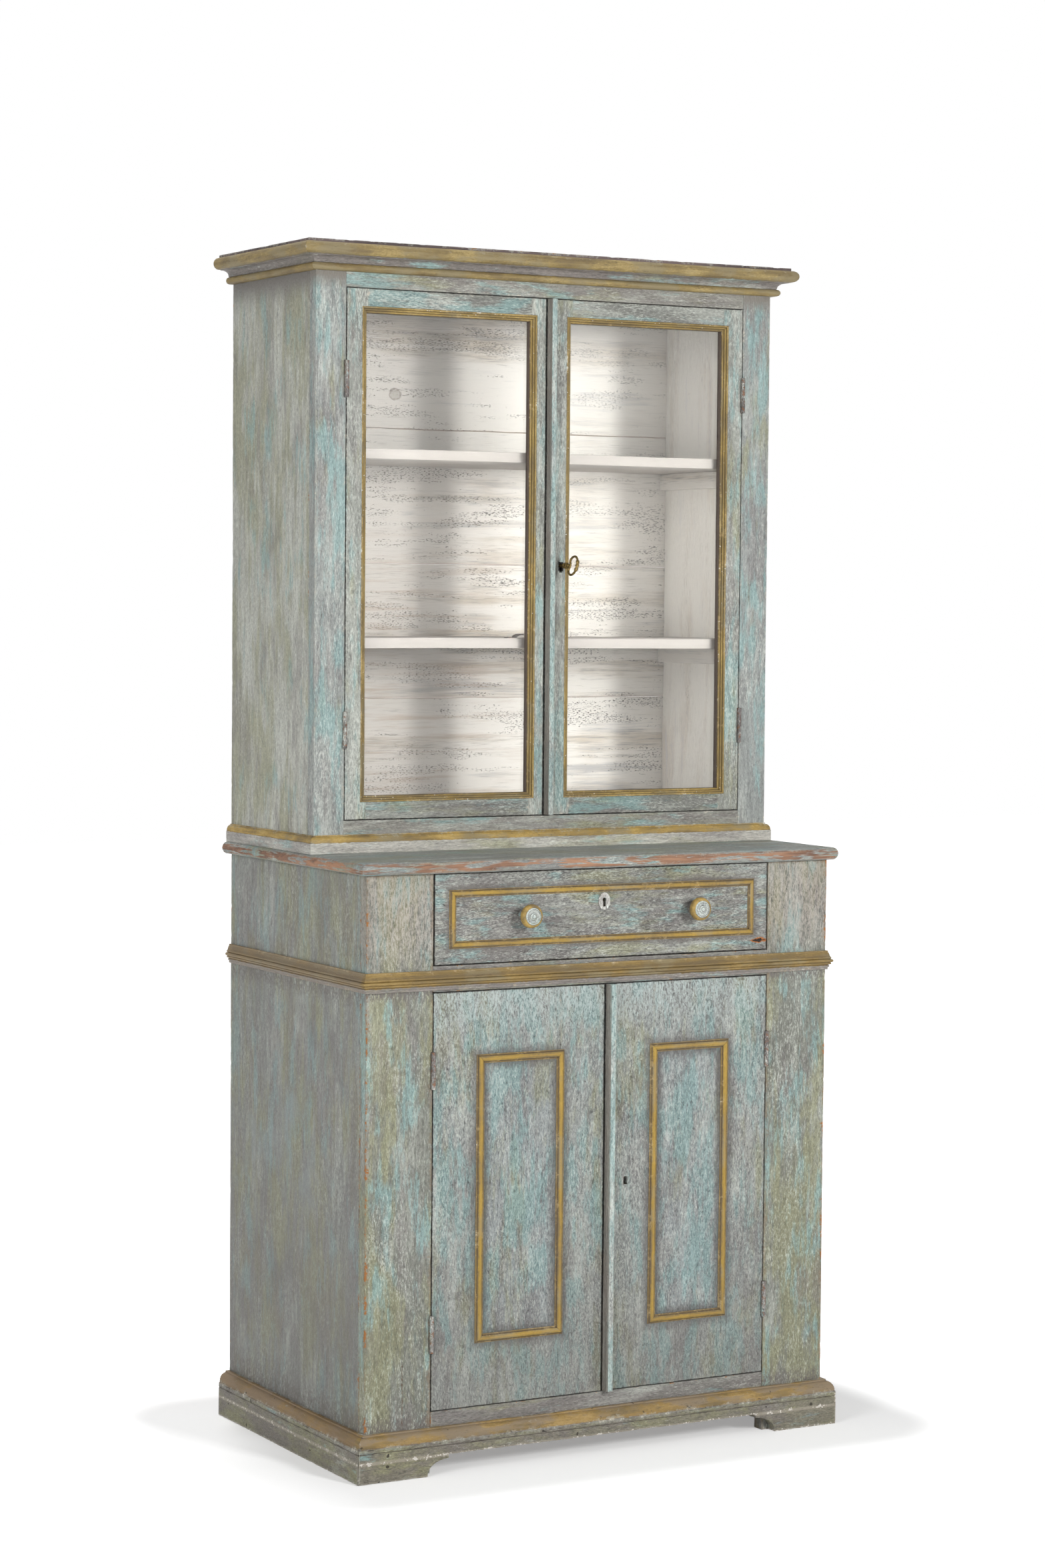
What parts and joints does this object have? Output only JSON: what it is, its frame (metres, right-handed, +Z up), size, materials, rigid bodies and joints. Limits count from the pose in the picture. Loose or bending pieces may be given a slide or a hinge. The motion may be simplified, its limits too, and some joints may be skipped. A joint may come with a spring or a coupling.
{
  "type": "sideboard with hutch",
  "caption": "Painted country sideboard with panelled doors under a drawer, a glazed hutch with a moulded cornice on top, bracket feet and a key in the upper lock.",
  "frame": {"origin": "on the floor, in the middle of the width and of the whole depth with the knobs", "axes": "+X to the right as seen from the front, +Y to the back, +Z up; the doors face -Y"},
  "size_m": [1.003, 0.589, 2.1],
  "materials": {
    "grey_green_paint": "matt, worn",
    "ochre_paint": "matt, worn",
    "chalk_paint": "matt, flaking",
    "table_paint": "satin, worn",
    "bare_wood": "raw",
    "dark_board": "matt",
    "glass": "clear",
    "iron": "dark, aged",
    "brass": "aged"
  },
  "bodies": {
    "case": {"lower_side_left": "grey_green_paint", "lower_side_right": "grey_green_paint", "lower_stiles": "grey_green_paint", "lower_rails": "grey_green_paint", "lower_deck": "chalk_paint", "lower_back_boards": "bare_wood", "lower_shelf": "chalk_paint", "shelf_cleats": "chalk_paint", "drawer_runners": "bare_wood", "waist_moulding": "ochre_paint", "plinth_boards": "grey_green_paint", "plinth_moulding": "ochre_paint", "table_top": "table_paint", "upper_side_left": "grey_green_paint", "upper_side_right": "grey_green_paint", "upper_stiles": "grey_green_paint", "upper_rails": "grey_green_paint", "upper_deck": "chalk_paint", "upper_back_boards": "chalk_paint", "upper_shelves": "chalk_paint", "base_moulding": "ochre_paint", "cornice_moulding": "ochre_paint", "cornice_board": "dark_board", "case_hinge_leaves": "iron", "hinge_pins": "iron", "shelf_catch": "iron"},
    "upper_left_door": {"upper_left_sash": "grey_green_paint", "upper_left_reeds": "ochre_paint", "upper_left_glass": "glass", "upper_left_beads": "chalk_paint", "upper_left_leaves": "iron"},
    "upper_right_door": {"upper_right_sash": "grey_green_paint", "upper_right_reeds": "ochre_paint", "upper_right_glass": "glass", "upper_right_beads": "chalk_paint", "upper_right_leaves": "iron", "upper_meeting_strip": "grey_green_paint", "upper_lock_case": "iron"},
    "upper_bolt": {"upper_lock_bolt": "iron"},
    "key": {"door_key": "brass"},
    "lower_left_door": {"lower_left_frame": "grey_green_paint", "lower_left_panel": "grey_green_paint", "lower_left_bead": "ochre_paint", "lower_left_leaves": "iron"},
    "lower_right_door": {"lower_right_frame": "grey_green_paint", "lower_right_panel": "grey_green_paint", "lower_right_bead": "ochre_paint", "lower_right_leaves": "iron", "lower_meeting_strip": "grey_green_paint", "lower_lock_case": "iron"},
    "lower_bolt": {"lower_lock_bolt": "iron"},
    "drawer": {"drawer_front": "grey_green_paint", "drawer_sides": "bare_wood", "drawer_back": "bare_wood", "drawer_bottom": "bare_wood", "drawer_bead": "ochre_paint", "drawer_knobs": "ochre_paint", "drawer_escutcheon": "iron", "drawer_lock_case": "iron"},
    "drawer_bolt": {"drawer_lock_bolt": "iron"}
  },
  "joints": [
    {"name": "upper_left_swing", "type": "hinge", "parent": "case", "child": "upper_left_door", "pos_m": [-0.40425, -0.051, 1.55], "axis": [0, 0, -1], "range_deg": [0, 165]},
    {"name": "upper_right_swing", "type": "hinge", "parent": "case", "child": "upper_right_door", "pos_m": [0.40425, -0.051, 1.55], "axis": [0, 0, 1], "range_deg": [0, 165]},
    {"name": "lower_left_swing", "type": "hinge", "parent": "case", "child": "lower_left_door", "pos_m": [-0.33625, -0.259, 0.46], "axis": [0, 0, -1], "range_deg": [0, 165]},
    {"name": "lower_right_swing", "type": "hinge", "parent": "case", "child": "lower_right_door", "pos_m": [0.33625, -0.259, 0.46], "axis": [0, 0, 1], "range_deg": [0, 165]},
    {"name": "key_turn", "type": "hinge", "parent": "upper_right_door", "child": "key", "pos_m": [0.0241, -0.0485, 1.55], "axis": [0, 1, 0], "range_deg": [0, 360]},
    {"name": "upper_bolt_slide", "type": "slide", "parent": "upper_right_door", "child": "upper_bolt", "axis": [-1, 0, 0], "range_m": [0, 0.01]},
    {"name": "lower_bolt_slide", "type": "slide", "parent": "lower_right_door", "child": "lower_bolt", "axis": [-1, 0, 0], "range_m": [0, 0.01]},
    {"name": "drawer_slide", "type": "slide", "parent": "case", "child": "drawer", "axis": [0, -1, 0], "range_m": [0, 0.3]},
    {"name": "drawer_bolt_slide", "type": "slide", "parent": "drawer", "child": "drawer_bolt", "axis": [0, 0, 1], "range_m": [0, 0.01]}
  ],
  "couplings": [
    {"joint": "upper_bolt_slide", "follows": "key_turn", "m_per_rad": 0.00159}
  ]
}
